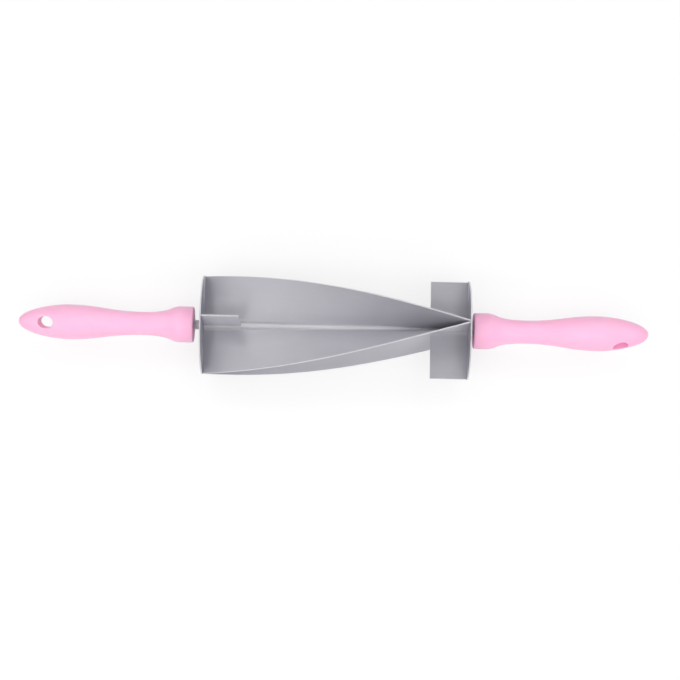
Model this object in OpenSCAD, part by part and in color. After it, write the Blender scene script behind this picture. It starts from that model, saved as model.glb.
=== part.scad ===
// Croissant cutter roller: four blades, each twisted a quarter turn, run between two end
// discs on one axle, and a free-turning handle rides on each end of the axle.
// X runs along the axle, Z is up, and the origin is the middle of the roller.

/* [Roller] */
// Length of the roller over its two end discs
roller_len = 150.8; // [110:0.2:220]
// Diameter of the end discs, and of the circle that the cutting edges run on
disc_d = 56; // [44:0.5:80]
// Thickness of the disc sheet
disc_t = 0.8; // [0.5:0.1:2]
// Rounding of the rim of each disc
rim_round = 0.25; // [0.1:0.05:0.25]
// Thickness of the blade and fin sheet
blade_t = 0.8; // [0.5:0.1:1.5]
// Length of the slit fins, out from their disc
fin_len = 20.9; // [8:0.2:40]
// Rounding of the free outer corner of each fin
fin_corner = 0.4; // [0.2:0.1:4]

/* [Axle] */
// Diameter of the axle
axle_d = 5.4; // [4:0.1:7]
// Bare axle beyond each push nut
axle_tail = 1.6; // [0.8:0.1:3]
// Bevel on the ends of the axle
axle_bevel = 0.5; // [0.1:0.05:0.8]

/* [Handles] */
// Length of a handle
handle_len = 99.3; // [85:0.2:130]
// Diameter of the collar that faces the disc
collar_d = 20.3; // [18:0.1:26]
// Straight length of the collar
collar_len = 7.5; // [3:0.1:9]
// Rounding of the collar's edge
collar_round = 0.9; // [0.3:0.1:2]
// Diameter at the neck
neck_d = 13.1; // [12.5:0.05:16]
// Distance from the collar's face to the neck
neck_at = 29.2; // [27:0.1:35]
// How far the shoulder runs on level before it falls to the neck
shoulder_pull = 6.2; // [3:0.1:9]
// How far the neck runs on level before it climbs to the shoulder
neck_pull = 17.2; // [6:0.1:18]
// Diameter at the belly
belly_d = 19.7; // [16:0.1:26]
// Distance from the collar's face to the belly
belly_at = 71; // [58:0.1:74]
// How far the neck runs on level before it swells to the belly
swell_pull = 19.6; // [10:0.1:22]
// How far the belly runs on level before it falls to the neck
belly_pull = 17.8; // [10:0.1:22]
// How far the belly runs on level before it falls to the tip
tip_pull = 8.6; // [5:0.1:11]
// How far the tip stands square before it bends over to the belly
tip_rise = 6.6; // [3:0.1:8]

/* [Hanging holes] */
// Diameter of the hanging hole
hole_d = 7.6; // [4:0.1:9]
// Distance from the hole to the handle's tip
hole_from_tip = 16.2; // [13:0.1:22]
// Depth of the bevel round the hole's mouths
hole_bevel = 0.4; // [0.2:0.1:1.2]
// Which way the left hole points, turned from straight up towards the front
left_hole_turn = 15; // [0:1:180]
// Which way the right hole points, turned from straight up towards the front
right_hole_turn = 71; // [0:1:180]

/* [Bearings] */
// Outside diameter of the bush in a handle's mouth
bush_d = 12; // [10:0.1:14]
// Length of the bush
bush_len = 12; // [8:0.1:14]
// Bevel on the bush's edges
bush_bevel = 0.5; // [0.2:0.1:1]
// Outside diameter of the washer
washer_d = 9.4; // [8.5:0.1:10]
// Thickness of the washer
washer_t = 0.8; // [0.4:0.1:1.2]
// Outside diameter of the push nut
nut_d = 9.4; // [9:0.1:10]
// Thickness of the push nut's sheet
nut_t = 0.5; // [0.3:0.05:0.8]
// Height of the push nut's dished teeth
nut_h = 1.7; // [1.2:0.1:2.4]
// Width of the flat rim round the push nut
nut_rim = 0.9; // [0.5:0.1:1]
// Number of teeth on the push nut
nut_teeth = 6; // [4:1:8]
// Width of the slots between the teeth
nut_slot = 0.7; // [0.4:0.1:1]

/* [Travel and fits] */
// Gap between disc and collar when a handle is pulled right out
gap_out = 4.9; // [2.8:0.1:7]
// Gap that is left when a handle is pushed right in
gap_in = 0.4; // [0.2:0.05:1]
// How far in from its outer stop the left handle stands
left_pushed_in = 0; // [0:0.1:1.8]
// How far in from its outer stop the right handle stands
right_pushed_in = 2.4; // [0:0.1:2.4]
// Running clearance of the bush round the axle
run_gap = 0.06; // [0.02:0.01:0.1]
// Clearance of the washer round the axle
washer_gap = 0.1; // [0.05:0.01:0.3]
// Clearance between pieces that are welded or pressed together
seat_gap = 0.04; // [0.02:0.01:0.1]
// Clearance between bush, washer and push nut at the outer stop
stop_gap = 0.1; // [0.05:0.01:0.3]
// Room round the washer and the push nut inside the handle
chamber_gap = 0.35; // [0.3:0.05:0.6]
// Room beyond the axle's end when a handle is pushed right in
chamber_end = 1.2; // [0.5:0.1:3]

/* [Hidden] */
$fn = 96;

// Steps along a twisted blade, along a handle's curves and round a small rounding
blade_steps = 72;
curve_steps = 16;
round_steps = 6;

// Colours of the pieces
steel = [0.75, 0.75, 0.77];
zinc = [0.62, 0.64, 0.66];
pink = [1.0, 0.74, 0.87];
dyed_nylon = [0.93, 0.64, 0.78];

// The roller: its discs' outer and inner faces, and the reach of blades and fins
axle_r = axle_d / 2;
disc_r = disc_d / 2;
disc_face = roller_len / 2;
blade_end = disc_face - disc_t - seat_gap;
blade_in = axle_r + seat_gap;
quarter_turn = 90;

// Along one end, outwards from the middle: push nut, end of the axle and depth of the chamber
nut_at = disc_face + gap_out + bush_len + washer_t + 2 * stop_gap;
axle_end = nut_at + nut_h + axle_tail;
chamber_len = axle_end - disc_face - gap_in + chamber_end;
chamber_d = max(washer_d, nut_d) + 2 * chamber_gap;

// Where each handle's collar starts
left_collar_at = disc_face + gap_out - left_pushed_in;
right_collar_at = disc_face + gap_out - right_pushed_in;

function mix(a, b, s) = a + (b - a) * s;

// One coordinate of a curve from a to b, drawn towards its two pulls on the way
function pulled(a, a_pull, b_pull, b, s) =
    a * pow(1 - s, 3) + 3 * a_pull * pow(1 - s, 2) * s
    + 3 * b_pull * (1 - s) * pow(s, 2) + b * pow(s, 3);

// Points of a rounded corner between two angles
function rounding(centre, r, from, to) = [
    for (i = [0:round_steps])
        let (a = mix(from, to, i / round_steps))
        [centre[0] + r * cos(a), centre[1] + r * sin(a)]
];

// The handle's outline as [radius, distance from the collar's face]
function shoulder_curve() = [
    for (i = [0:curve_steps])
        let (s = i / curve_steps)
        [
            pulled(collar_d / 2, collar_d / 2, neck_d / 2, neck_d / 2, s),
            pulled(collar_len, collar_len + shoulder_pull, neck_at - neck_pull, neck_at, s)
        ]
];
function grip_curve() = [
    for (i = [1:curve_steps])
        let (s = i / curve_steps)
        [
            pulled(neck_d / 2, neck_d / 2, belly_d / 2, belly_d / 2, s),
            pulled(neck_at, neck_at + swell_pull, belly_at - belly_pull, belly_at, s)
        ]
];
function tip_curve() = [
    for (i = [1:curve_steps])
        let (s = i / curve_steps)
        [
            pulled(belly_d / 2, belly_d / 2, tip_rise, 0, s),
            pulled(belly_at, belly_at + tip_pull, handle_len, handle_len, s)
        ]
];
handle_outline = concat(
    [[0, 0]],
    rounding([collar_d / 2 - collar_round, collar_round], collar_round, -90, 0),
    shoulder_curve(),
    grip_curve(),
    tip_curve()
);

// The handle's radius where the hanging hole crosses it, and the height of the hole's sides there
hole_at = handle_len - hole_from_tip;
handle_r_at_hole = lookup(hole_at, [
    for (point = concat(grip_curve(), tip_curve())) [point[1], point[0]]
]);
hole_side = sqrt(pow(handle_r_at_hole, 2) - pow(hole_d / 2, 2));

// Lays a shape that stands on Z along +X, with its foot at the given distance
module along_axle(at) {
    translate([at, 0, 0])
        rotate([0, 90, 0])
            children();
}

// The same shape on the left end
module on_left() {
    mirror([1, 0, 0])
        children();
}

module ring(outer_d, inner_d, height) {
    difference() {
        cylinder(d = outer_d, h = height);
        translate([0, 0, -height])
            cylinder(d = inner_d, h = 3 * height);
    }
}

// A flat disc with a rounded rim and a bore that the axle is welded into
module end_disc() {
    along_axle(disc_face - disc_t)
        rotate_extrude()
            polygon(concat(
                [[blade_in, 0]],
                rounding([disc_r - rim_round, rim_round], rim_round, -90, 0),
                rounding([disc_r - rim_round, disc_t - rim_round], rim_round, 0, 90),
                [[blade_in, disc_t]]
            ));
}

// A thin rectangle across the blade that turns from the rear at the left end to the top at the
// right end, and shifts over so that the blade lies beside its neighbour at both ends
function blade_section(s) =
    let (turn = quarter_turn * (1 - s), shift = (blade_t / 2 + seat_gap) * (2 * s - 1))
    [
        for (corner = [[blade_in, -1], [disc_r, -1], [disc_r, 1], [blade_in, 1]])
            let (side = shift + corner[1] * blade_t / 2)
            [
                mix(-blade_end, blade_end, s),
                corner[0] * sin(turn) + side * cos(turn),
                corner[0] * cos(turn) - side * sin(turn)
            ]
    ];

module twisted_blade() {
    sections = [for (i = [0:blade_steps]) blade_section(i / blade_steps)];
    points = [for (section = sections) for (point = section) point];
    last = 4 * blade_steps;
    sides = [
        for (i = [0:blade_steps - 1])
            for (j = [0:3])
                let (a = 4 * i + j, b = 4 * i + (j + 1) % 4)
                each [[a, b, b + 4], [a, b + 4, a + 4]]
    ];
    ends = [[3, 2, 1, 0], [last, last + 1, last + 2, last + 3]];
    polyhedron(points = points, faces = concat(sides, ends));
}

// A flat fin that stands up from the axle against the right disc
module slit_fin() {
    height = disc_r - blade_in;
    translate([blade_end, blade_t / 2, blade_in])
        rotate([90, 0, 0])
            linear_extrude(blade_t)
                polygon(concat(
                    [[0, 0], [0, height]],
                    rounding([fin_corner - fin_len, height - fin_corner], fin_corner, 90, 180),
                    [[-fin_len, 0]]
                ));
}

// A handle on the right end: turned outside, bored for the bush and the axle's end, with its
// hanging hole turned from straight up towards the front
module handle(collar_at, hole_turn) {
    difference() {
        along_axle(collar_at)
            rotate_extrude()
                polygon(handle_outline);
        along_axle(collar_at - 1)
            cylinder(d = bush_d + 2 * seat_gap, h = bush_len + 1);
        along_axle(collar_at)
            cylinder(d = chamber_d, h = chamber_len);
        translate([collar_at + hole_at, 0, 0])
            rotate([hole_turn, 0, 0])
                hanging_hole();
    }
}

module hanging_hole() {
    cylinder(d = hole_d, h = 2 * belly_d, center = true);
    for (turn = [0, 180])
        rotate([turn, 0, 0])
            translate([0, 0, hole_side - hole_bevel])
                cylinder(d1 = hole_d, d2 = hole_d + belly_d, h = belly_d);
}

module bush(collar_at) {
    bore_r = axle_r + run_gap;
    wall_r = bush_d / 2;
    along_axle(collar_at)
        rotate_extrude()
            polygon([
                [bore_r + bush_bevel, 0],
                [wall_r, 0],
                [wall_r, bush_len - bush_bevel],
                [wall_r - bush_bevel, bush_len],
                [bore_r, bush_len],
                [bore_r, bush_bevel]
            ]);
}

module washer(collar_at) {
    along_axle(collar_at + bush_len + stop_gap)
        ring(washer_d, axle_d + 2 * washer_gap, washer_t);
}

// A flat rim with teeth dished outwards, parted by slots, that grip the axle
module push_nut() {
    grip_r = axle_r + seat_gap;
    rim_r = nut_d / 2;
    root_r = rim_r - nut_rim;
    along_axle(nut_at)
        difference() {
            rotate_extrude()
                polygon([
                    [grip_r, nut_h - nut_t],
                    [root_r, 0],
                    [rim_r, 0],
                    [rim_r, nut_t],
                    [root_r, nut_t],
                    [grip_r, nut_h]
                ]);
            for (i = [0:nut_teeth - 1])
                rotate(360 * i / nut_teeth)
                    translate([0, -nut_slot / 2, -nut_h])
                        cube([root_r, nut_slot, 3 * nut_h]);
        }
}

module axle() {
    color(steel)
        along_axle(-axle_end)
            rotate_extrude()
                polygon([
                    [0, 0],
                    [axle_r - axle_bevel, 0],
                    [axle_r, axle_bevel],
                    [axle_r, 2 * axle_end - axle_bevel],
                    [axle_r - axle_bevel, 2 * axle_end],
                    [0, 2 * axle_end]
                ]);
}

module left_disc() {
    color(steel)
        on_left()
            end_disc();
}

module right_disc() {
    color(steel)
        end_disc();
}

module top_rear_blade() {
    color(steel)
        twisted_blade();
}

module top_front_blade() {
    color(steel)
        mirror([0, 1, 0])
            twisted_blade();
}

module bottom_rear_blade() {
    color(steel)
        mirror([0, 0, 1])
            twisted_blade();
}

module bottom_front_blade() {
    color(steel)
        rotate([180, 0, 0])
            twisted_blade();
}

module left_top_fin() {
    color(steel)
        on_left()
            slit_fin();
}

module left_bottom_fin() {
    color(steel)
        on_left()
            rotate([180, 0, 0])
                slit_fin();
}

module right_rear_fin() {
    color(steel)
        rotate([-90, 0, 0])
            slit_fin();
}

module right_front_fin() {
    color(steel)
        rotate([90, 0, 0])
            slit_fin();
}

module left_handle() {
    color(pink)
        on_left()
            handle(left_collar_at, left_hole_turn);
}

module right_handle() {
    color(pink)
        handle(right_collar_at, right_hole_turn);
}

module left_bush() {
    color(dyed_nylon)
        on_left()
            bush(left_collar_at);
}

module right_bush() {
    color(dyed_nylon)
        bush(right_collar_at);
}

module left_washer() {
    color(zinc)
        on_left()
            washer(left_collar_at);
}

module right_washer() {
    color(zinc)
        washer(right_collar_at);
}

module left_push_nut() {
    color(zinc)
        on_left()
            push_nut();
}

module right_push_nut() {
    color(zinc)
        push_nut();
}

axle();
left_disc();
right_disc();
top_rear_blade();
top_front_blade();
bottom_rear_blade();
bottom_front_blade();
left_top_fin();
left_bottom_fin();
right_rear_fin();
right_front_fin();
left_handle();
right_handle();
left_bush();
right_bush();
left_washer();
right_washer();
left_push_nut();
right_push_nut();
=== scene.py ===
import math

import bmesh
import bpy
from mathutils import Matrix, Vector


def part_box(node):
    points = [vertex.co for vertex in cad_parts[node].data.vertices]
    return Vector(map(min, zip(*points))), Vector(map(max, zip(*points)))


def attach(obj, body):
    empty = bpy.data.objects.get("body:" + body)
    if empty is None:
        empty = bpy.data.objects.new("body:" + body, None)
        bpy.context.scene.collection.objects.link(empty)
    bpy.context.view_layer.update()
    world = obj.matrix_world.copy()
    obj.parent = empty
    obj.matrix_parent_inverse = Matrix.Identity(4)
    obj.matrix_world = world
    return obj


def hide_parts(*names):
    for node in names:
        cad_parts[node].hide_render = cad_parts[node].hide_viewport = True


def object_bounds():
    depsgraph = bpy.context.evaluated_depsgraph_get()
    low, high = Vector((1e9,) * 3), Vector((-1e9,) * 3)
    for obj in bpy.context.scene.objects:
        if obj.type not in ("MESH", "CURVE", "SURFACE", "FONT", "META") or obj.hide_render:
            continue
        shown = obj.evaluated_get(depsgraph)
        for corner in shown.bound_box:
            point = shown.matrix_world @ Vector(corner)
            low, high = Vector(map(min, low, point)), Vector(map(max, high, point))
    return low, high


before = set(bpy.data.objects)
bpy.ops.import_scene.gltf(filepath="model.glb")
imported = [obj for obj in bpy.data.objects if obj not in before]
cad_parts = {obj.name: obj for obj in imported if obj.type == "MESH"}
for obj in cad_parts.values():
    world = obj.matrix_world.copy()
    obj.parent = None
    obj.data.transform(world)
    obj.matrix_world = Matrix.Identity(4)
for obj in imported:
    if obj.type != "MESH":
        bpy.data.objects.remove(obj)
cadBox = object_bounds()
mm = 0.001  # metres in a millimetre
print("frame loaded with", len(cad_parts), "nodes")

# sizes read off the frame
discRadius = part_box("right_disc")[1].z
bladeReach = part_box("top_rear_blade")[1].x
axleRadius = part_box("axle")[1].z
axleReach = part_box("axle")[1].x


# camera, placed by the edges of the discs, blades and fins
photoCamera = {
    "spot": (1.845 * mm, -202.68 * mm, 1026.98 * mm),
    "turn": (10.789, -0.0416, 1.298),  # degrees about X, Y and Z, with Z taken first
    "lens": 97.79,
    "sensor": 36.0,
    "clip": (0.05, 50),  # nearest and furthest, in metres
}


def setCamera(plan):
    data = bpy.data.cameras.new("photoCamera")
    data.lens = plan["lens"]
    data.sensor_width = plan["sensor"]
    data.clip_start, data.clip_end = plan["clip"]
    camera = bpy.data.objects.new("photoCamera", data)
    camera.location = plan["spot"]
    camera.rotation_mode = "ZYX"
    camera.rotation_euler = [math.radians(a) for a in plan["turn"]]
    bpy.context.scene.collection.objects.link(camera)
    bpy.context.scene.camera = camera


setCamera(photoCamera)
print("camera set")


# node helpers
def link(tree, source, target):
    tree.links.new(source, target)


def addNode(tree, kind, **values):
    node = tree.nodes.new(kind)
    for name, value in values.items():
        setattr(node, name, value)
    return node


def emptyTree(owner):
    owner.use_nodes = True
    owner.node_tree.nodes.clear()
    return owner.node_tree


def mathNode(tree, operation, *values):
    node = addNode(tree, "ShaderNodeMath", operation=operation)
    for socket, value in zip(node.inputs, values):
        if isinstance(value, (int, float)):
            socket.default_value = value
        else:
            link(tree, value, socket)
    return node.outputs[0]


def rangeNode(tree, value, fromLow, fromHigh, toLow, toHigh):
    node = addNode(tree, "ShaderNodeMapRange")
    link(tree, value, node.inputs["Value"])
    names = ("From Min", "From Max", "To Min", "To Max")
    for name, number in zip(names, (fromLow, fromHigh, toLow, toHigh)):
        node.inputs[name].default_value = number
    return node.outputs["Result"]


def mixColour(tree, factor, first, second):
    node = addNode(tree, "ShaderNodeMix", data_type="RGBA")
    link(tree, factor, node.inputs["Factor"])
    for socket, value in zip(node.inputs[6:8], (first, second)):  # the two colour sockets
        if isinstance(value, tuple):
            socket.default_value = (*value, 1)
        else:
            link(tree, value, socket)
    return node.outputs[2]


# noise patterns that the finishes share
def patternGroup(name, detail, roughness):
    tree = bpy.data.node_groups.new(name, "ShaderNodeTree")
    face = tree.interface
    for socket in ("Place", "Stretch"):
        face.new_socket(socket, in_out="INPUT", socket_type="NodeSocketVector")
    for socket in ("Low", "High"):
        face.new_socket(socket, in_out="INPUT", socket_type="NodeSocketFloat")
    face.new_socket("Amount", in_out="OUTPUT", socket_type="NodeSocketFloat")
    given = addNode(tree, "NodeGroupInput").outputs
    result = addNode(tree, "NodeGroupOutput")
    stretch = addNode(tree, "ShaderNodeVectorMath", operation="MULTIPLY")
    link(tree, given["Place"], stretch.inputs[0])
    link(tree, given["Stretch"], stretch.inputs[1])
    noise = addNode(tree, "ShaderNodeTexNoise")
    noise.inputs["Scale"].default_value = 1
    noise.inputs["Detail"].default_value = detail
    noise.inputs["Roughness"].default_value = roughness
    link(tree, stretch.outputs[0], noise.inputs["Vector"])
    levels = addNode(tree, "ShaderNodeMapRange")
    link(tree, noise.outputs[0], levels.inputs["Value"])
    link(tree, given["Low"], levels.inputs["From Min"])
    link(tree, given["High"], levels.inputs["From Max"])
    link(tree, levels.outputs["Result"], result.inputs["Amount"])
    return tree


grainGroup = patternGroup("fineGrain", detail=3, roughness=0.6)  # streaks and pimples
mottleGroup = patternGroup("softMottle", detail=2, roughness=0.5)  # smudges and uneven colour
patternRange = (0.3, 0.7)  # the part of the noise that is spread over 0 to 1


def usePattern(tree, group, place, stretch):
    node = addNode(tree, "ShaderNodeGroup", node_tree=group)
    link(tree, place, node.inputs["Place"])
    node.inputs["Stretch"].default_value = stretch
    for name, value in zip(("Low", "High"), patternRange):
        node.inputs[name].default_value = value
    return node.outputs["Amount"]


def startMaterial(name):
    material = bpy.data.materials.new(name)
    tree = emptyTree(material)
    shader = addNode(tree, "ShaderNodeBsdfPrincipled")
    output = addNode(tree, "ShaderNodeOutputMaterial")
    link(tree, shader.outputs[0], output.inputs["Surface"])
    return material, tree, shader


def addBump(tree, shader, height, plan):
    bump = addNode(tree, "ShaderNodeBump")
    bump.inputs["Strength"].default_value = plan["bump"]
    bump.inputs["Distance"].default_value = plan["bumpDepth"]
    link(tree, height, bump.inputs["Height"])
    link(tree, bump.outputs["Normal"], shader.inputs["Normal"])


# satin sheet: rolling streaks run along the sheet, so it reads the place kept before twisting
sheetFinish = {
    "dark": (0.557, 0.547, 0.593),
    "light": (0.612, 0.603, 0.652),
    "paintedEdgeGlint": (0.8, 0.79, 0.83),  # painted highlight: a lighter colour along the sheared edge, standing in for light that catches it
    "paintedGlintDepth": 0.3 * mm,
    "roughness": (0.5, 0.58),
    "metallic": 0.9,  # the satin skin scatters a little light
    "anisotropic": 0.85,
    "streakLine": (1, 0.001, 0),  # along the axle, a hair off it for the faces of the discs
    "streaks": (25, 4200, 4200),  # per metre
    "smudges": (55, 55, 55),
    "streakShare": 0.5,  # the rest of the unevenness is smudges
    "bump": 0.15,
    "bumpDepth": 0.01 * mm,
}


def sheetMaterial(plan):
    material, tree, shader = startMaterial("satinSheet")
    place = addNode(tree, "ShaderNodeAttribute", attribute_name="sheetPlace").outputs["Vector"]
    streaks = usePattern(tree, grainGroup, place, plan["streaks"])
    smudges = usePattern(tree, mottleGroup, place, plan["smudges"])
    share = plan["streakShare"]
    blend = mathNode(tree, "MULTIPLY_ADD", streaks, share, mathNode(tree, "MULTIPLY", smudges, 1 - share))
    radius = addNode(tree, "ShaderNodeAttribute", attribute_name="fromAxle").outputs["Fac"]
    # painted highlight: the base colour turns lighter in a thin band at the outer rim, standing in for
    # light catching the sheared edge
    depth = plan["paintedGlintDepth"]
    paintedEdgeGlint = rangeNode(tree, radius, discRadius - depth, discRadius - depth / 2, 0, 1)
    faces = mixColour(tree, blend, plan["dark"], plan["light"])
    link(tree, mixColour(tree, paintedEdgeGlint, faces, plan["paintedEdgeGlint"]), shader.inputs["Base Color"])
    link(tree, rangeNode(tree, blend, 0, 1, *plan["roughness"]), shader.inputs["Roughness"])
    shader.inputs["Metallic"].default_value = plan["metallic"]
    shader.inputs["Anisotropic"].default_value = plan["anisotropic"]
    across = addNode(tree, "ShaderNodeVectorMath", operation="CROSS_PRODUCT")
    link(tree, addNode(tree, "ShaderNodeNewGeometry").outputs["Normal"], across.inputs[0])
    across.inputs[1].default_value = plan["streakLine"]
    link(tree, across.outputs[0], shader.inputs["Tangent"])  # highlights spread across the streaks
    addBump(tree, shader, streaks, plan)
    return material


# bright drawn rod and plated small parts
rodFinish = {
    "dark": (0.56, 0.55, 0.58),
    "light": (0.62, 0.61, 0.64),
    "roughness": (0.48, 0.58),
    "streaks": (30, 3000, 3000),
    "smudges": (80, 80, 80),
    "bump": 0.1,
    "bumpDepth": 0.01 * mm,
}
zincFinish = {
    "dark": (0.5, 0.52, 0.54),
    "light": (0.6, 0.62, 0.64),
    "roughness": (0.25, 0.4),
    "streaks": (900, 900, 900),
    "smudges": (300, 300, 300),
    "bump": 0.1,
    "bumpDepth": 0.01 * mm,
}


def metalMaterial(name, plan):
    material, tree, shader = startMaterial(name)
    place = addNode(tree, "ShaderNodeTexCoord").outputs["Object"]
    streaks = usePattern(tree, grainGroup, place, plan["streaks"])
    smudges = usePattern(tree, mottleGroup, place, plan["smudges"])
    link(tree, mixColour(tree, streaks, plan["dark"], plan["light"]), shader.inputs["Base Color"])
    link(tree, rangeNode(tree, smudges, 0, 1, *plan["roughness"]), shader.inputs["Roughness"])
    shader.inputs["Metallic"].default_value = 1
    addBump(tree, shader, streaks, plan)
    return material


# moulded plastic: a faint uneven tint and a fine matt skin
pinkFinish = {
    "dark": (0.98, 0.475, 0.685),
    "light": (1.0, 0.503, 0.713),
    "roughness": (0.36, 0.46),
    "skin": (1800, 1800, 1800),
    "tint": (60, 90, 90),
    "bump": 0.2,
    "bumpDepth": 0.02 * mm,
    "glowThrough": 0.3,  # share of the light that scatters inside the plastic
    "scatter": (1.0, 0.3, 0.45),
    "scatterDepth": 3 * mm,
}
bushFinish = {
    "dark": (0.8, 0.36, 0.53),
    "light": (0.86, 0.41, 0.58),
    "roughness": (0.4, 0.5),
    "skin": (1500, 1500, 1500),
    "tint": (200, 200, 200),
    "bump": 0.15,
    "bumpDepth": 0.02 * mm,
}


def plasticMaterial(name, plan):
    material, tree, shader = startMaterial(name)
    place = addNode(tree, "ShaderNodeTexCoord").outputs["Object"]
    skin = usePattern(tree, grainGroup, place, plan["skin"])
    tint = usePattern(tree, mottleGroup, place, plan["tint"])
    link(tree, mixColour(tree, tint, plan["dark"], plan["light"]), shader.inputs["Base Color"])
    link(tree, rangeNode(tree, skin, 0, 1, *plan["roughness"]), shader.inputs["Roughness"])
    addBump(tree, shader, skin, plan)
    if "glowThrough" in plan:
        shader.inputs["Subsurface Weight"].default_value = plan["glowThrough"]
        shader.inputs["Subsurface Radius"].default_value = plan["scatter"]
        shader.inputs["Subsurface Scale"].default_value = plan["scatterDepth"]
    return material


satinSheet = sheetMaterial(sheetFinish)
brightRod = metalMaterial("brightRod", rodFinish)
zincPlate = metalMaterial("zincPlate", zincFinish)
pinkPlastic = plasticMaterial("pinkPlastic", pinkFinish)
bushPlastic = plasticMaterial("bushPlastic", bushFinish)
print("finishes made")


# putting pieces in the scene
def addPiece(name, mesh, body, node):
    piece = bpy.data.objects.new(name, mesh)
    bpy.context.scene.collection.objects.link(piece)
    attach(piece, body)
    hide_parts(node)


def smoothFaces(mesh, sharpAngle):
    mesh.shade_smooth()
    mesh.set_sharp_from_angle(angle=math.radians(sharpAngle))


def meshFrom(name, build, material, sharpAngle):
    mesh = bpy.data.meshes.new(name)
    bmesh.ops.recalc_face_normals(build, faces=build.faces)
    build.to_mesh(mesh)
    build.free()
    mesh.materials.append(material)
    smoothFaces(mesh, sharpAngle)
    return mesh


# blades and fins: one tree makes a sheet, keeps its flat place, then turns it round the axle
sheetShape = {
    "bladeSteps": 160,
    "finSteps": 24,
    "stepsAcross": 28,
    "edgeRound": 0.12 * mm,
    "edgeSegments": 2,
    "edgeAngle": 60,  # degrees, past which an edge is rounded
    "sharpAngle": 20,
    "seatGap": 0.04 * mm,  # kept clear beside a neighbour and round the rod
}
rootWeld = {  # sheets run into the rod with a small fillet
    "inner": 1.4 * mm,
    "round": 1.0 * mm,
    "crowd": 1.7,  # how far the rows gather towards the rod
}


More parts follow.
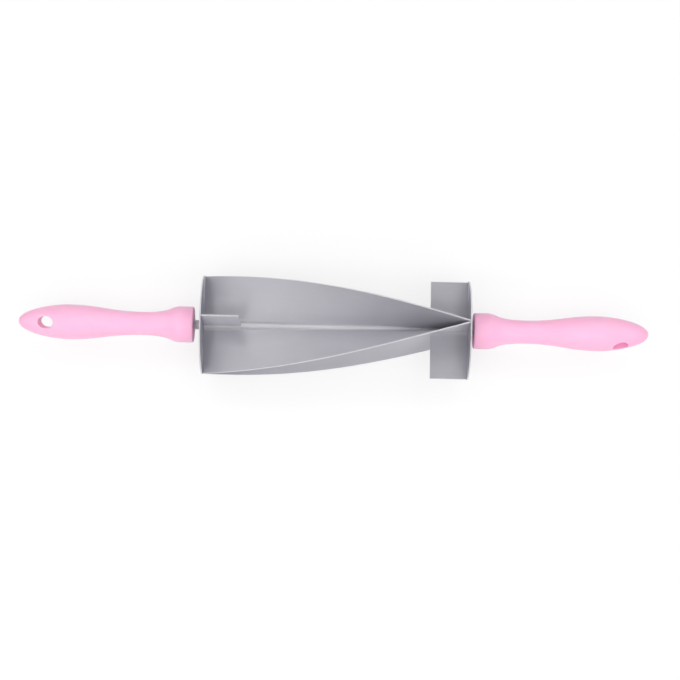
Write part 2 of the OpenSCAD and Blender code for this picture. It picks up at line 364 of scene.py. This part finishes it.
def sheetTree():
    tree = bpy.data.node_groups.new("turnedSheet", "GeometryNodeTree")
    face = tree.interface
    for name in (
        "Length",
        "Centre",
        "Inner Radius",
        "Outer Radius",
        "Thickness",
        "Start Angle",
        "End Angle",
        "Start Shift",
        "End Shift",
        "Weld Round",
        "Weld Top",
        "Weld Foot",
        "Crowd",
    ):
        face.new_socket(name, in_out="INPUT", socket_type="NodeSocketFloat")
    for name in ("Steps", "Steps Across"):
        face.new_socket(name, in_out="INPUT", socket_type="NodeSocketInt")
    face.new_socket("Finish", in_out="INPUT", socket_type="NodeSocketMaterial")
    face.new_socket("Sheet", in_out="OUTPUT", socket_type="NodeSocketGeometry")
    given = addNode(tree, "NodeGroupInput").outputs
    result = addNode(tree, "NodeGroupOutput")

    # a flat sheet that stands on the axle
    size = addNode(tree, "ShaderNodeCombineXYZ")
    width = mathNode(tree, "SUBTRACT", given["Outer Radius"], given["Inner Radius"])
    link(tree, given["Length"], size.inputs["X"])
    link(tree, given["Thickness"], size.inputs["Y"])
    link(tree, width, size.inputs["Z"])
    sheet = addNode(tree, "GeometryNodeMeshCube")
    link(tree, size.outputs[0], sheet.inputs["Size"])
    link(tree, given["Steps"], sheet.inputs["Vertices X"])
    link(tree, given["Steps Across"], sheet.inputs["Vertices Z"])
    bothRadii = mathNode(tree, "ADD", given["Outer Radius"], given["Inner Radius"])
    lift = addNode(tree, "ShaderNodeCombineXYZ")
    link(tree, given["Centre"], lift.inputs["X"])
    link(tree, mathNode(tree, "MULTIPLY", bothRadii, 0.5), lift.inputs["Z"])
    raised = addNode(tree, "GeometryNodeTransform")
    link(tree, sheet.outputs["Mesh"], raised.inputs["Geometry"])
    link(tree, lift.outputs[0], raised.inputs["Translation"])

    # rows crowd towards the rod, where the sheet thickens into the fillet
    flat = addNode(tree, "ShaderNodeSeparateXYZ")
    link(tree, addNode(tree, "GeometryNodeInputPosition").outputs[0], flat.inputs[0])
    share = mathNode(tree, "SUBTRACT", flat.outputs["Z"], given["Inner Radius"])
    share = mathNode(tree, "MAXIMUM", mathNode(tree, "DIVIDE", share, width), 0)
    share = mathNode(tree, "POWER", share, given["Crowd"])
    height = mathNode(tree, "ADD", given["Inner Radius"], mathNode(tree, "MULTIPLY", share, width))
    below = mathNode(tree, "MAXIMUM", height, given["Weld Foot"])
    below = mathNode(tree, "MAXIMUM", mathNode(tree, "SUBTRACT", given["Weld Top"], below), 0)
    squares = [mathNode(tree, "MULTIPLY", value, value) for value in (given["Weld Round"], below)]
    swell = mathNode(tree, "SQRT", mathNode(tree, "SUBTRACT", *squares))
    swell = mathNode(tree, "SUBTRACT", given["Weld Round"], swell)
    swell = mathNode(tree, "MULTIPLY", swell, mathNode(tree, "SIGN", flat.outputs["Y"]))
    welded = addNode(tree, "ShaderNodeCombineXYZ")
    link(tree, flat.outputs["X"], welded.inputs["X"])
    link(tree, mathNode(tree, "ADD", flat.outputs["Y"], swell), welded.inputs["Y"])
    link(tree, height, welded.inputs["Z"])
    rooted = addNode(tree, "GeometryNodeSetPosition")
    link(tree, raised.outputs[0], rooted.inputs["Geometry"])
    link(tree, welded.outputs[0], rooted.inputs["Position"])

    # the flat place, for the streaks, and the distance from the axle, for the painted highlight along the
    # cut edge
    place = addNode(tree, "GeometryNodeInputPosition").outputs[0]
    kept = addNode(tree, "GeometryNodeStoreNamedAttribute", data_type="FLOAT_VECTOR", domain="POINT")
    kept.inputs["Name"].default_value = "sheetPlace"
    link(tree, rooted.outputs[0], kept.inputs["Geometry"])
    link(tree, place, kept.inputs["Value"])
    apart = addNode(tree, "ShaderNodeSeparateXYZ")
    link(tree, place, apart.inputs[0])
    measured = addNode(tree, "GeometryNodeStoreNamedAttribute", data_type="FLOAT", domain="POINT")
    measured.inputs["Name"].default_value = "fromAxle"
    link(tree, kept.outputs[0], measured.inputs["Geometry"])
    link(tree, apart.outputs["Z"], measured.inputs["Value"])

    # the twist, from the left end to the right
    along = mathNode(tree, "SUBTRACT", apart.outputs["X"], given["Centre"])
    along = mathNode(tree, "DIVIDE", along, given["Length"])
    along = mathNode(tree, "ADD", along, 0.5)  # 0 at the left end, 1 at the right end

    def between(start, end):
        step = mathNode(tree, "MULTIPLY", mathNode(tree, "SUBTRACT", given[end], given[start]), along)
        return mathNode(tree, "ADD", given[start], step)

    aside = mathNode(tree, "ADD", apart.outputs["Y"], between("Start Shift", "End Shift"))
    shifted = addNode(tree, "ShaderNodeCombineXYZ")
    link(tree, apart.outputs["X"], shifted.inputs["X"])
    link(tree, aside, shifted.inputs["Y"])
    link(tree, apart.outputs["Z"], shifted.inputs["Z"])
    turned = addNode(tree, "ShaderNodeVectorRotate", rotation_type="X_AXIS", invert=True)
    link(tree, shifted.outputs[0], turned.inputs["Vector"])
    link(tree, between("Start Angle", "End Angle"), turned.inputs["Angle"])
    moved = addNode(tree, "GeometryNodeSetPosition")
    link(tree, measured.outputs[0], moved.inputs["Geometry"])
    link(tree, turned.outputs[0], moved.inputs["Position"])

    whole = addNode(tree, "GeometryNodeRealizeInstances")
    link(tree, moved.outputs[0], whole.inputs[0])
    finish = addNode(tree, "GeometryNodeSetMaterial")
    link(tree, whole.outputs[0], finish.inputs["Geometry"])
    link(tree, given["Finish"], finish.inputs["Material"])
    link(tree, finish.outputs[0], result.inputs[0])
    return tree


turnedSheet = sheetTree()


def sheetMesh(name, values):
    blank = bpy.data.meshes.new(name + "Blank")
    holder = bpy.data.objects.new(name + "Holder", blank)
    bpy.context.scene.collection.objects.link(holder)
    nodes = holder.modifiers.new("sheet", "NODES")
    nodes.node_group = turnedSheet
    for item in turnedSheet.interface.items_tree:
        if item.in_out == "INPUT":
            nodes[item.identifier] = values[item.name]
    bevel = holder.modifiers.new("cutEdges", "BEVEL")
    bevel.width = sheetShape["edgeRound"]
    bevel.segments = sheetShape["edgeSegments"]
    bevel.limit_method = "ANGLE"
    bevel.angle_limit = math.radians(sheetShape["edgeAngle"])
    graph = bpy.context.evaluated_depsgraph_get()
    mesh = bpy.data.meshes.new_from_object(holder.evaluated_get(graph))
    mesh.name = name
    bpy.data.objects.remove(holder)
    smoothFaces(mesh, sheetShape["sharpAngle"])
    return mesh


def addSheet(name, values):
    addPiece(name + "_sheet", sheetMesh(name, values), "roller", name)


# each blade turns a quarter round the axle: angles from straight up towards the rear, shifts keep
# it beside its neighbour where they meet at the ends
bladePlan = {
    "top_rear_blade": (90, 0, -1, 1),
    "top_front_blade": (-90, 0, 1, -1),
    "bottom_rear_blade": (90, 180, 1, -1),
    "bottom_front_blade": (-90, -180, -1, 1),
}
finPlan = {"left_top_fin": 0, "left_bottom_fin": 180, "right_rear_fin": 90, "right_front_fin": -90}
finLow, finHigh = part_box("left_top_fin")
sheetThickness = finHigh.y - finLow.y


def makeSheets():
    shift = sheetThickness / 2 + sheetShape["seatGap"]
    # a circle that touches the sheet's face and the rod gives the fillet
    size = rootWeld["round"]
    top = math.sqrt((axleRadius + size) ** 2 - (sheetThickness / 2 + size) ** 2)
    shared = {
        "Inner Radius": rootWeld["inner"],
        "Weld Round": size,
        "Weld Top": top,
        "Weld Foot": top * axleRadius / (axleRadius + size),
        "Crowd": rootWeld["crowd"],
        "Outer Radius": discRadius,
        "Thickness": sheetThickness,
        "Steps Across": sheetShape["stepsAcross"],
        "Finish": satinSheet,
    }
    for name, (start, end, startSide, endSide) in bladePlan.items():
        twist = {
            "Length": 2 * bladeReach,
            "Centre": 0.0,
            "Start Angle": math.radians(start),
            "End Angle": math.radians(end),
            "Start Shift": startSide * shift,
            "End Shift": endSide * shift,
            "Steps": sheetShape["bladeSteps"],
        }
        addSheet(name, shared | twist)
    for name, angle in finPlan.items():
        low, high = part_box(name)
        stand = {
            "Length": high.x - low.x,
            "Centre": (high.x + low.x) / 2,
            "Start Angle": math.radians(angle),
            "End Angle": math.radians(angle),
            "Start Shift": 0.0,
            "End Shift": 0.0,
            "Steps": sheetShape["finSteps"],
        }
        addSheet(name, shared | stand)


makeSheets()
print("blades and fins made")


# turned pieces: an outline of (along, radius) points swept round the axle
def latheBuild(outline, segments, closed):
    build = bmesh.new()
    turns = [2 * math.pi * i / segments for i in range(segments)]
    rings = []
    for along, radius in outline:
        if radius == 0:
            rings.append([build.verts.new((along, 0, 0))] * segments)
            continue
        ring = [(along, radius * math.cos(a), radius * math.sin(a)) for a in turns]
        rings.append([build.verts.new(corner) for corner in ring])
    pairs = list(zip(rings, rings[1:]))
    if closed:
        pairs.append((rings[-1], rings[0]))
    for first, second in pairs:
        for i in range(segments):
            j = (i + 1) % segments
            corners = dict.fromkeys((first[i], first[j], second[j], second[i]))
            build.faces.new(list(corners))
    return build


def arc(centreAlong, centreRadius, size, fromDegrees, toDegrees, steps):
    points = []
    for i in range(steps + 1):
        a = math.radians(fromDegrees + (toDegrees - fromDegrees) * i / steps)
        points.append((centreAlong + size * math.sin(a), centreRadius + size * math.cos(a)))
    return points


discShape = {"segments": 240, "rimRound": 0.25 * mm, "roundSteps": 5, "sharpAngle": 20}


def makeDiscs(plan):
    boreRadius = axleRadius + sheetShape["seatGap"]
    size = plan["rimRound"]
    for side in ("left", "right"):
        low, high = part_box(side + "_disc")
        outline = [(low.x, boreRadius)]
        outline += arc(low.x + size, discRadius - size, size, -90, 0, plan["roundSteps"])
        outline += arc(high.x - size, discRadius - size, size, 0, 90, plan["roundSteps"])
        outline += [(high.x, boreRadius)]
        build = latheBuild(outline, plan["segments"], True)
        flat = build.verts.layers.float_vector.new("sheetPlace")
        radius = build.verts.layers.float.new("fromAxle")
        for corner in build.verts:
            corner[flat] = (corner.co.y, corner.co.x, corner.co.z)  # streaks run across the disc
            corner[radius] = corner.co.yz.length
        mesh = meshFrom(side + "Disc", build, satinSheet, plan["sharpAngle"])
        addPiece(side + "_disc_plate", mesh, "roller", side + "_disc")


makeDiscs(discShape)

axleShape = {"segments": 96, "bevel": 0.5 * mm, "sharpAngle": 30}


def makeAxle(plan):
    bevel = plan["bevel"]
    outline = [
        (-axleReach, 0),
        (-axleReach, axleRadius - bevel),
        (-axleReach + bevel, axleRadius),
        (axleReach - bevel, axleRadius),
        (axleReach, axleRadius - bevel),
        (axleReach, 0),
    ]
    build = latheBuild(outline, plan["segments"], False)
    mesh = meshFrom("axleRod", build, brightRod, plan["sharpAngle"])
    addPiece("axle_rod", mesh, "roller", "axle")


makeAxle(axleShape)
print("discs and axle made")


# handles: a turned outline, bored for the bush, with a rounded hanging hole through the end
handleShape = {
    "collarRadius": 10.15 * mm,
    "collarLength": 7.5 * mm,
    "collarRound": 0.9 * mm,
    "shoulderPull": 6.2 * mm,
    "neckPull": 17.2 * mm,
    "neckRadius": 6.55 * mm,
    "neckAt": 29.2 * mm,
    "swellPull": 19.6 * mm,
    "bellyPull": 17.8 * mm,
    "bellyRadius": 9.85 * mm,
    "bellyAt": 71 * mm,
    "tipPull": 8.6 * mm,
    "tipRise": 6.6 * mm,
    "boreRadius": 6.04 * mm,
    "boreDepth": 12 * mm,
    "chamberRadius": 5.05 * mm,
    "chamberDepth": 22 * mm,
    "holeHalf": (4.4 * mm, 3.5 * mm),  # along and across the handle: the hole is a little oval
    "holeFromTip": 16.2 * mm,
    "holeLip": 0.6 * mm,
    "columns": 128,
    "windowColumns": 34,  # columns of the outline that the hole's patch takes
    "windowReach": 6.6 * mm,
    "patchRings": 10,
    "lipRings": 6,
    "wallRings": 10,
    "collarRoundSteps": 8,
    "collarSteps": 4,
    "curveSteps": 40,
    "bellySteps": 10,  # from the belly to the hole's patch
    "sharpAngle": 40,
}
handleTurns = {"left": 15, "right": 71}  # degrees from straight up towards the front


def handleCurves(plan, length):
    collar, neck, belly = plan["collarRadius"], plan["neckRadius"], plan["bellyRadius"]
    start, middle, end = plan["collarLength"], plan["neckAt"], plan["bellyAt"]
    shoulder = (
        (start, collar),
        (start + plan["shoulderPull"], collar),
        (middle - plan["neckPull"], neck),
        (middle, neck),
    )
    swell = (
        (middle, neck),
        (middle + plan["swellPull"], neck),
        (end - plan["bellyPull"], belly),
        (end, belly),
    )
    tip = ((end, belly), (end + plan["tipPull"], belly), (length, plan["tipRise"]), (length, 0))
    return shoulder, swell, tip


def onCurve(curve, s):
    weights = ((1 - s) ** 3, 3 * (1 - s) ** 2 * s, 3 * (1 - s) * s * s, s**3)
    return tuple(sum(w * point[i] for w, point in zip(weights, curve)) for i in (0, 1))


def whereAlong(curve, along, halvings=40):
    low, high = 0.0, 1.0
    for _ in range(halvings):
        middle = (low + high) / 2
        if onCurve(curve, middle)[0] < along:
            low = middle
        else:
            high = middle
    return low


def handleRadius(along, plan, length):
    for curve in handleCurves(plan, length):
        if along <= curve[3][0]:
            return onCurve(curve, whereAlong(curve, along))[1]
    return 0.0


def spread(low, high, steps):
    return [low + (high - low) * i / steps for i in range(1, steps + 1)]


# from the bore's blind end, out of the mouth and along the outside to the tip
def handleOutline(plan, length):
    outline = [
        (plan["chamberDepth"], 0),
        (plan["chamberDepth"], plan["chamberRadius"]),
        (plan["boreDepth"], plan["chamberRadius"]),
        (plan["boreDepth"], plan["boreRadius"]),
        (0, plan["boreRadius"]),
    ]
    edge = plan["collarRound"]
    collar = plan["collarRadius"]
    outline += arc(edge, collar - edge, edge, -90, 0, plan["collarRoundSteps"])
    outline += [(x, collar) for x in spread(edge, plan["collarLength"], plan["collarSteps"])]
    shoulder, swell, tip = handleCurves(plan, length)
    for curve in (shoulder, swell):
        outline += [onCurve(curve, s) for s in spread(0, 1, plan["curveSteps"])]
    holeAt = length - plan["holeFromTip"]
    windowLow, windowHigh = holeAt - plan["windowReach"], holeAt + plan["windowReach"]
    outline += [onCurve(tip, s) for s in spread(0, whereAlong(tip, windowLow), plan["bellySteps"])]
    firstRow = len(outline) - 1
    windowSpots = spread(windowLow, windowHigh, plan["windowColumns"])
    outline += [(x, handleRadius(x, plan, length)) for x in windowSpots]
    lastRow = len(outline) - 1
    tipSpots = spread(whereAlong(tip, windowHigh), 1, plan["curveSteps"])[:-1]
    outline += [onCurve(tip, s) for s in tipSpots]
    outline += [(length, 0)]
    return outline, firstRow, lastRow


def joinRings(build, first, second):
    count = len(first)
    for i in range(count):
        j = (i + 1) % count
        build.faces.new((first[i], first[j], second[j], second[i]))


# one mouth of the hole: a patch from the window's edge to the lip, then the rounded lip
def addMouth(build, plan, length, side, loop):
    holeAt = length - plan["holeFromTip"]
    halfAlong, halfAcross = plan["holeHalf"]
    lip = plan["holeLip"]

    def surface(x, y):
        return math.sqrt(handleRadius(x, plan, length) ** 2 - y * y)

    def roundHole(a, out):
        return holeAt + (halfAlong + out) * math.cos(a), (halfAcross + out) * math.sin(a)

    turns = [math.atan2(v.co.y, v.co.x - holeAt) for v in loop]
    rings = []
    for share in spread(0, 1, plan["patchRings"]):
        flat = []
        for v, a in zip(loop, turns):
            rimX, rimY = roundHole(a, lip)
            x = v.co.x + (rimX - v.co.x) * share
            y = v.co.y + (rimY - v.co.y) * share
            flat.append((x, y, side * surface(x, y)))
        rings.append(flat)
    for b in spread(0, math.pi / 2, plan["lipRings"]):
        drop = lip * (1 - math.cos(b))
        flat = []
        for a in turns:
            x, y = roundHole(a, lip * (1 - math.sin(b)))
            flat.append((x, y, side * (surface(x, y) - drop)))
        rings.append(flat)
    ring = loop
    for flat in rings:
        fresh = [build.verts.new(p) for p in flat]
        joinRings(build, ring, fresh)
        ring = fresh
    return ring, turns


def angleGap(a, b):
    return abs((a - b + math.pi) % (2 * math.pi) - math.pi)


# the wall of the hole, from one mouth down to the other
def addWall(build, plan, upper, upperTurns, lower, lowerTurns):
    count = len(lower)
    start = min(range(count), key=lambda i: angleGap(lowerTurns[i], upperTurns[0]))
    gaps = {step: angleGap(lowerTurns[(start + step) % count], upperTurns[1]) for step in (1, -1)}
    step = min(gaps, key=gaps.get)
    matched = [lower[(start + step * i) % count] for i in range(count)]
    ring = upper
    for share in spread(0, 1, plan["wallRings"])[:-1]:
        fresh = [build.verts.new(a.co.lerp(b.co, share)) for a, b in zip(upper, matched)]
        joinRings(build, ring, fresh)
        ring = fresh
    joinRings(build, ring, matched)


def handleBuild(plan, length):
    outline, firstRow, lastRow = handleOutline(plan, length)
    columns = plan["columns"]
    build = latheBuild(outline, columns, False)

    # the lathe's vertices, ring by ring, to find the window round each mouth of the hole
    build.verts.ensure_lookup_table()
    ringStarts = []
    count = 0
    for _, radius in outline:
        ringStarts.append(count)
        count += 1 if radius == 0 else columns

    def cornerAt(row, column):
        return build.verts[ringStarts[row] + column % columns]

    half = plan["windowColumns"] // 2
    mouths = []
    doomed = set()
    for side, top in ((1, columns // 4), (-1, 3 * columns // 4)):
        left, right = top - half, top + half
        loop = [cornerAt(firstRow, c) for c in range(left, right)]
        loop += [cornerAt(r, right) for r in range(firstRow, lastRow)]
        loop += [cornerAt(lastRow, c) for c in range(right, left, -1)]
        loop += [cornerAt(r, left) for r in range(lastRow, firstRow, -1)]
        for row in range(firstRow + 1, lastRow):
            doomed.update(cornerAt(row, c) for c in range(left + 1, right))
        mouths.append((side, loop))
    upper, lower = [addMouth(build, plan, length, side, loop) for side, loop in mouths]
    bmesh.ops.delete(build, geom=list(doomed), context="VERTS")
    addWall(build, plan, *upper, *lower)
    return build


def makeHandles(plan):
    for side, degrees in handleTurns.items():
        low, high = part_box(side + "_handle")
        build = handleBuild(plan, high.x - low.x)
        turn = Matrix.Rotation(math.radians(degrees), 4, "X")
        bmesh.ops.transform(build, matrix=turn, verts=build.verts)
        for corner in build.verts:
            along = corner.co.x
            corner.co.x = high.x - along if side == "left" else low.x + along
        mesh = meshFrom(side + "Handle", build, pinkPlastic, plan["sharpAngle"])
        addPiece(side + "_handle_grip", mesh, side + "_grip", side + "_handle")


makeHandles(handleShape)
print("handles made")


# the small inner parts keep their own shapes
innerFinishes = {"bush": bushPlastic, "washer": zincPlate, "push_nut": zincPlate}
for side in ("left", "right"):
    for part, material in innerFinishes.items():
        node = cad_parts[side + "_" + part]
        node.data.materials.clear()
        node.data.materials.append(material)
print("inner parts finished")


# floor and light: a narrow pair of soft boxes beside the camera, a broad pair further out, a pair to
# the front and rear, a dark gap overhead, a pale backdrop round the horizon, and a broad lamp that
# fills the plastic and the floor
stagePlan = {
    "floorSize": 6.0,
    "floorColour": (0.92, 0.92, 0.92),
    "floorGlow": 0.7,  # share of plain white that the camera sees in the floor
    "boxes": {  # (degrees from overhead, light)
        "X": ((0, 0), (12, 0), (12.6, 5.6), (15.4, 5.6), (16, 0), (24, 0), (26, 1.4), (49, 1.2), (51, 0)),
        "Y": ((0, 0), (17, 0), (18.5, 1.95), (29.5, 1.95), (31, 0)),
    },
    "backdropTop": 8,  # degrees above the horizon that the pale backdrop reaches
    "fillSpot": (0, -0.75, 1.2),
    "fillTilt": 32,  # degrees, to face the object
    "fillSize": (1.6, 1.6),
    "fillPower": 9.3,
}


def seenDirectly(tree):
    path = addNode(tree, "ShaderNodeLightPath")
    seen = mathNode(tree, "MAXIMUM", path.outputs["Is Camera Ray"], path.outputs["Is Glossy Ray"])
    return mathNode(tree, "MAXIMUM", seen, path.outputs["Is Transmission Ray"])


def makeFloor(plan):
    size = plan["floorSize"] / 2
    height = cadBox[0].z
    corners = [(x * size, y * size, height) for x, y in ((-1, -1), (1, -1), (1, 1), (-1, 1))]
    mesh = bpy.data.meshes.new("floor")
    mesh.from_pydata(corners, [], [(0, 1, 2, 3)])
    material = bpy.data.materials.new("floorWhite")
    tree = emptyTree(material)
    matt = addNode(tree, "ShaderNodeBsdfDiffuse")
    matt.inputs["Color"].default_value = (*plan["floorColour"], 1)
    glow = addNode(tree, "ShaderNodeEmission")
    both = addNode(tree, "ShaderNodeMixShader")
    link(tree, mathNode(tree, "MULTIPLY", seenDirectly(tree), plan["floorGlow"]), both.inputs[0])
    link(tree, matt.outputs[0], both.inputs[1])
    link(tree, glow.outputs[0], both.inputs[2])
    output = addNode(tree, "ShaderNodeOutputMaterial")
    link(tree, both.outputs[0], output.inputs["Surface"])
    mesh.materials.append(material)
    floor = bpy.data.objects.new("floor", mesh)
    bpy.context.scene.collection.objects.link(floor)


def makeWorld(plan):
    world = bpy.data.worlds.new("studio")
    bpy.context.scene.world = world
    tree = emptyTree(world)
    apart = addNode(tree, "ShaderNodeSeparateXYZ")
    link(tree, addNode(tree, "ShaderNodeTexCoord").outputs["Generated"], apart.inputs[0])
    lights = []
    for axis, boxes in plan["boxes"].items():
        tilt = mathNode(tree, "ARCTAN2", apart.outputs[axis], apart.outputs["Z"])
        share = mathNode(tree, "DIVIDE", mathNode(tree, "ABSOLUTE", tilt), math.pi / 2)
        ramp = addNode(tree, "ShaderNodeValToRGB")
        link(tree, share, ramp.inputs[0])
        steps = ramp.color_ramp.elements
        while len(steps) < len(boxes):
            steps.new(1)
        for step, (degrees, light) in zip(steps, boxes):
            step.position = degrees / 90
            step.color = (light, light, light, 1)
        lights.append(ramp.outputs[0])
    top = math.sin(math.radians(plan["backdropTop"]))
    low = mathNode(tree, "LESS_THAN", apart.outputs["Z"], top)
    backdrop = mathNode(tree, "MULTIPLY", seenDirectly(tree), low)
    strength = mathNode(tree, "MAXIMUM", mathNode(tree, "ADD", *lights), backdrop)
    sky = addNode(tree, "ShaderNodeBackground")
    link(tree, strength, sky.inputs["Strength"])
    output = addNode(tree, "ShaderNodeOutputWorld")
    link(tree, sky.outputs[0], output.inputs["Surface"])


def addFill(plan):
    data = bpy.data.lights.new("fill", "AREA")
    data.shape = "RECTANGLE"
    data.size, data.size_y = plan["fillSize"]
    data.energy = plan["fillPower"]
    lamp = bpy.data.objects.new("fill", data)
    lamp.location = plan["fillSpot"]
    lamp.rotation_euler.x = math.radians(plan["fillTilt"])
    lamp.visible_glossy = False
    bpy.context.scene.collection.objects.link(lamp)


makeFloor(stagePlan)
makeWorld(stagePlan)
addFill(stagePlan)
bpy.context.scene.view_settings.view_transform = "Standard"
print("stage lit")
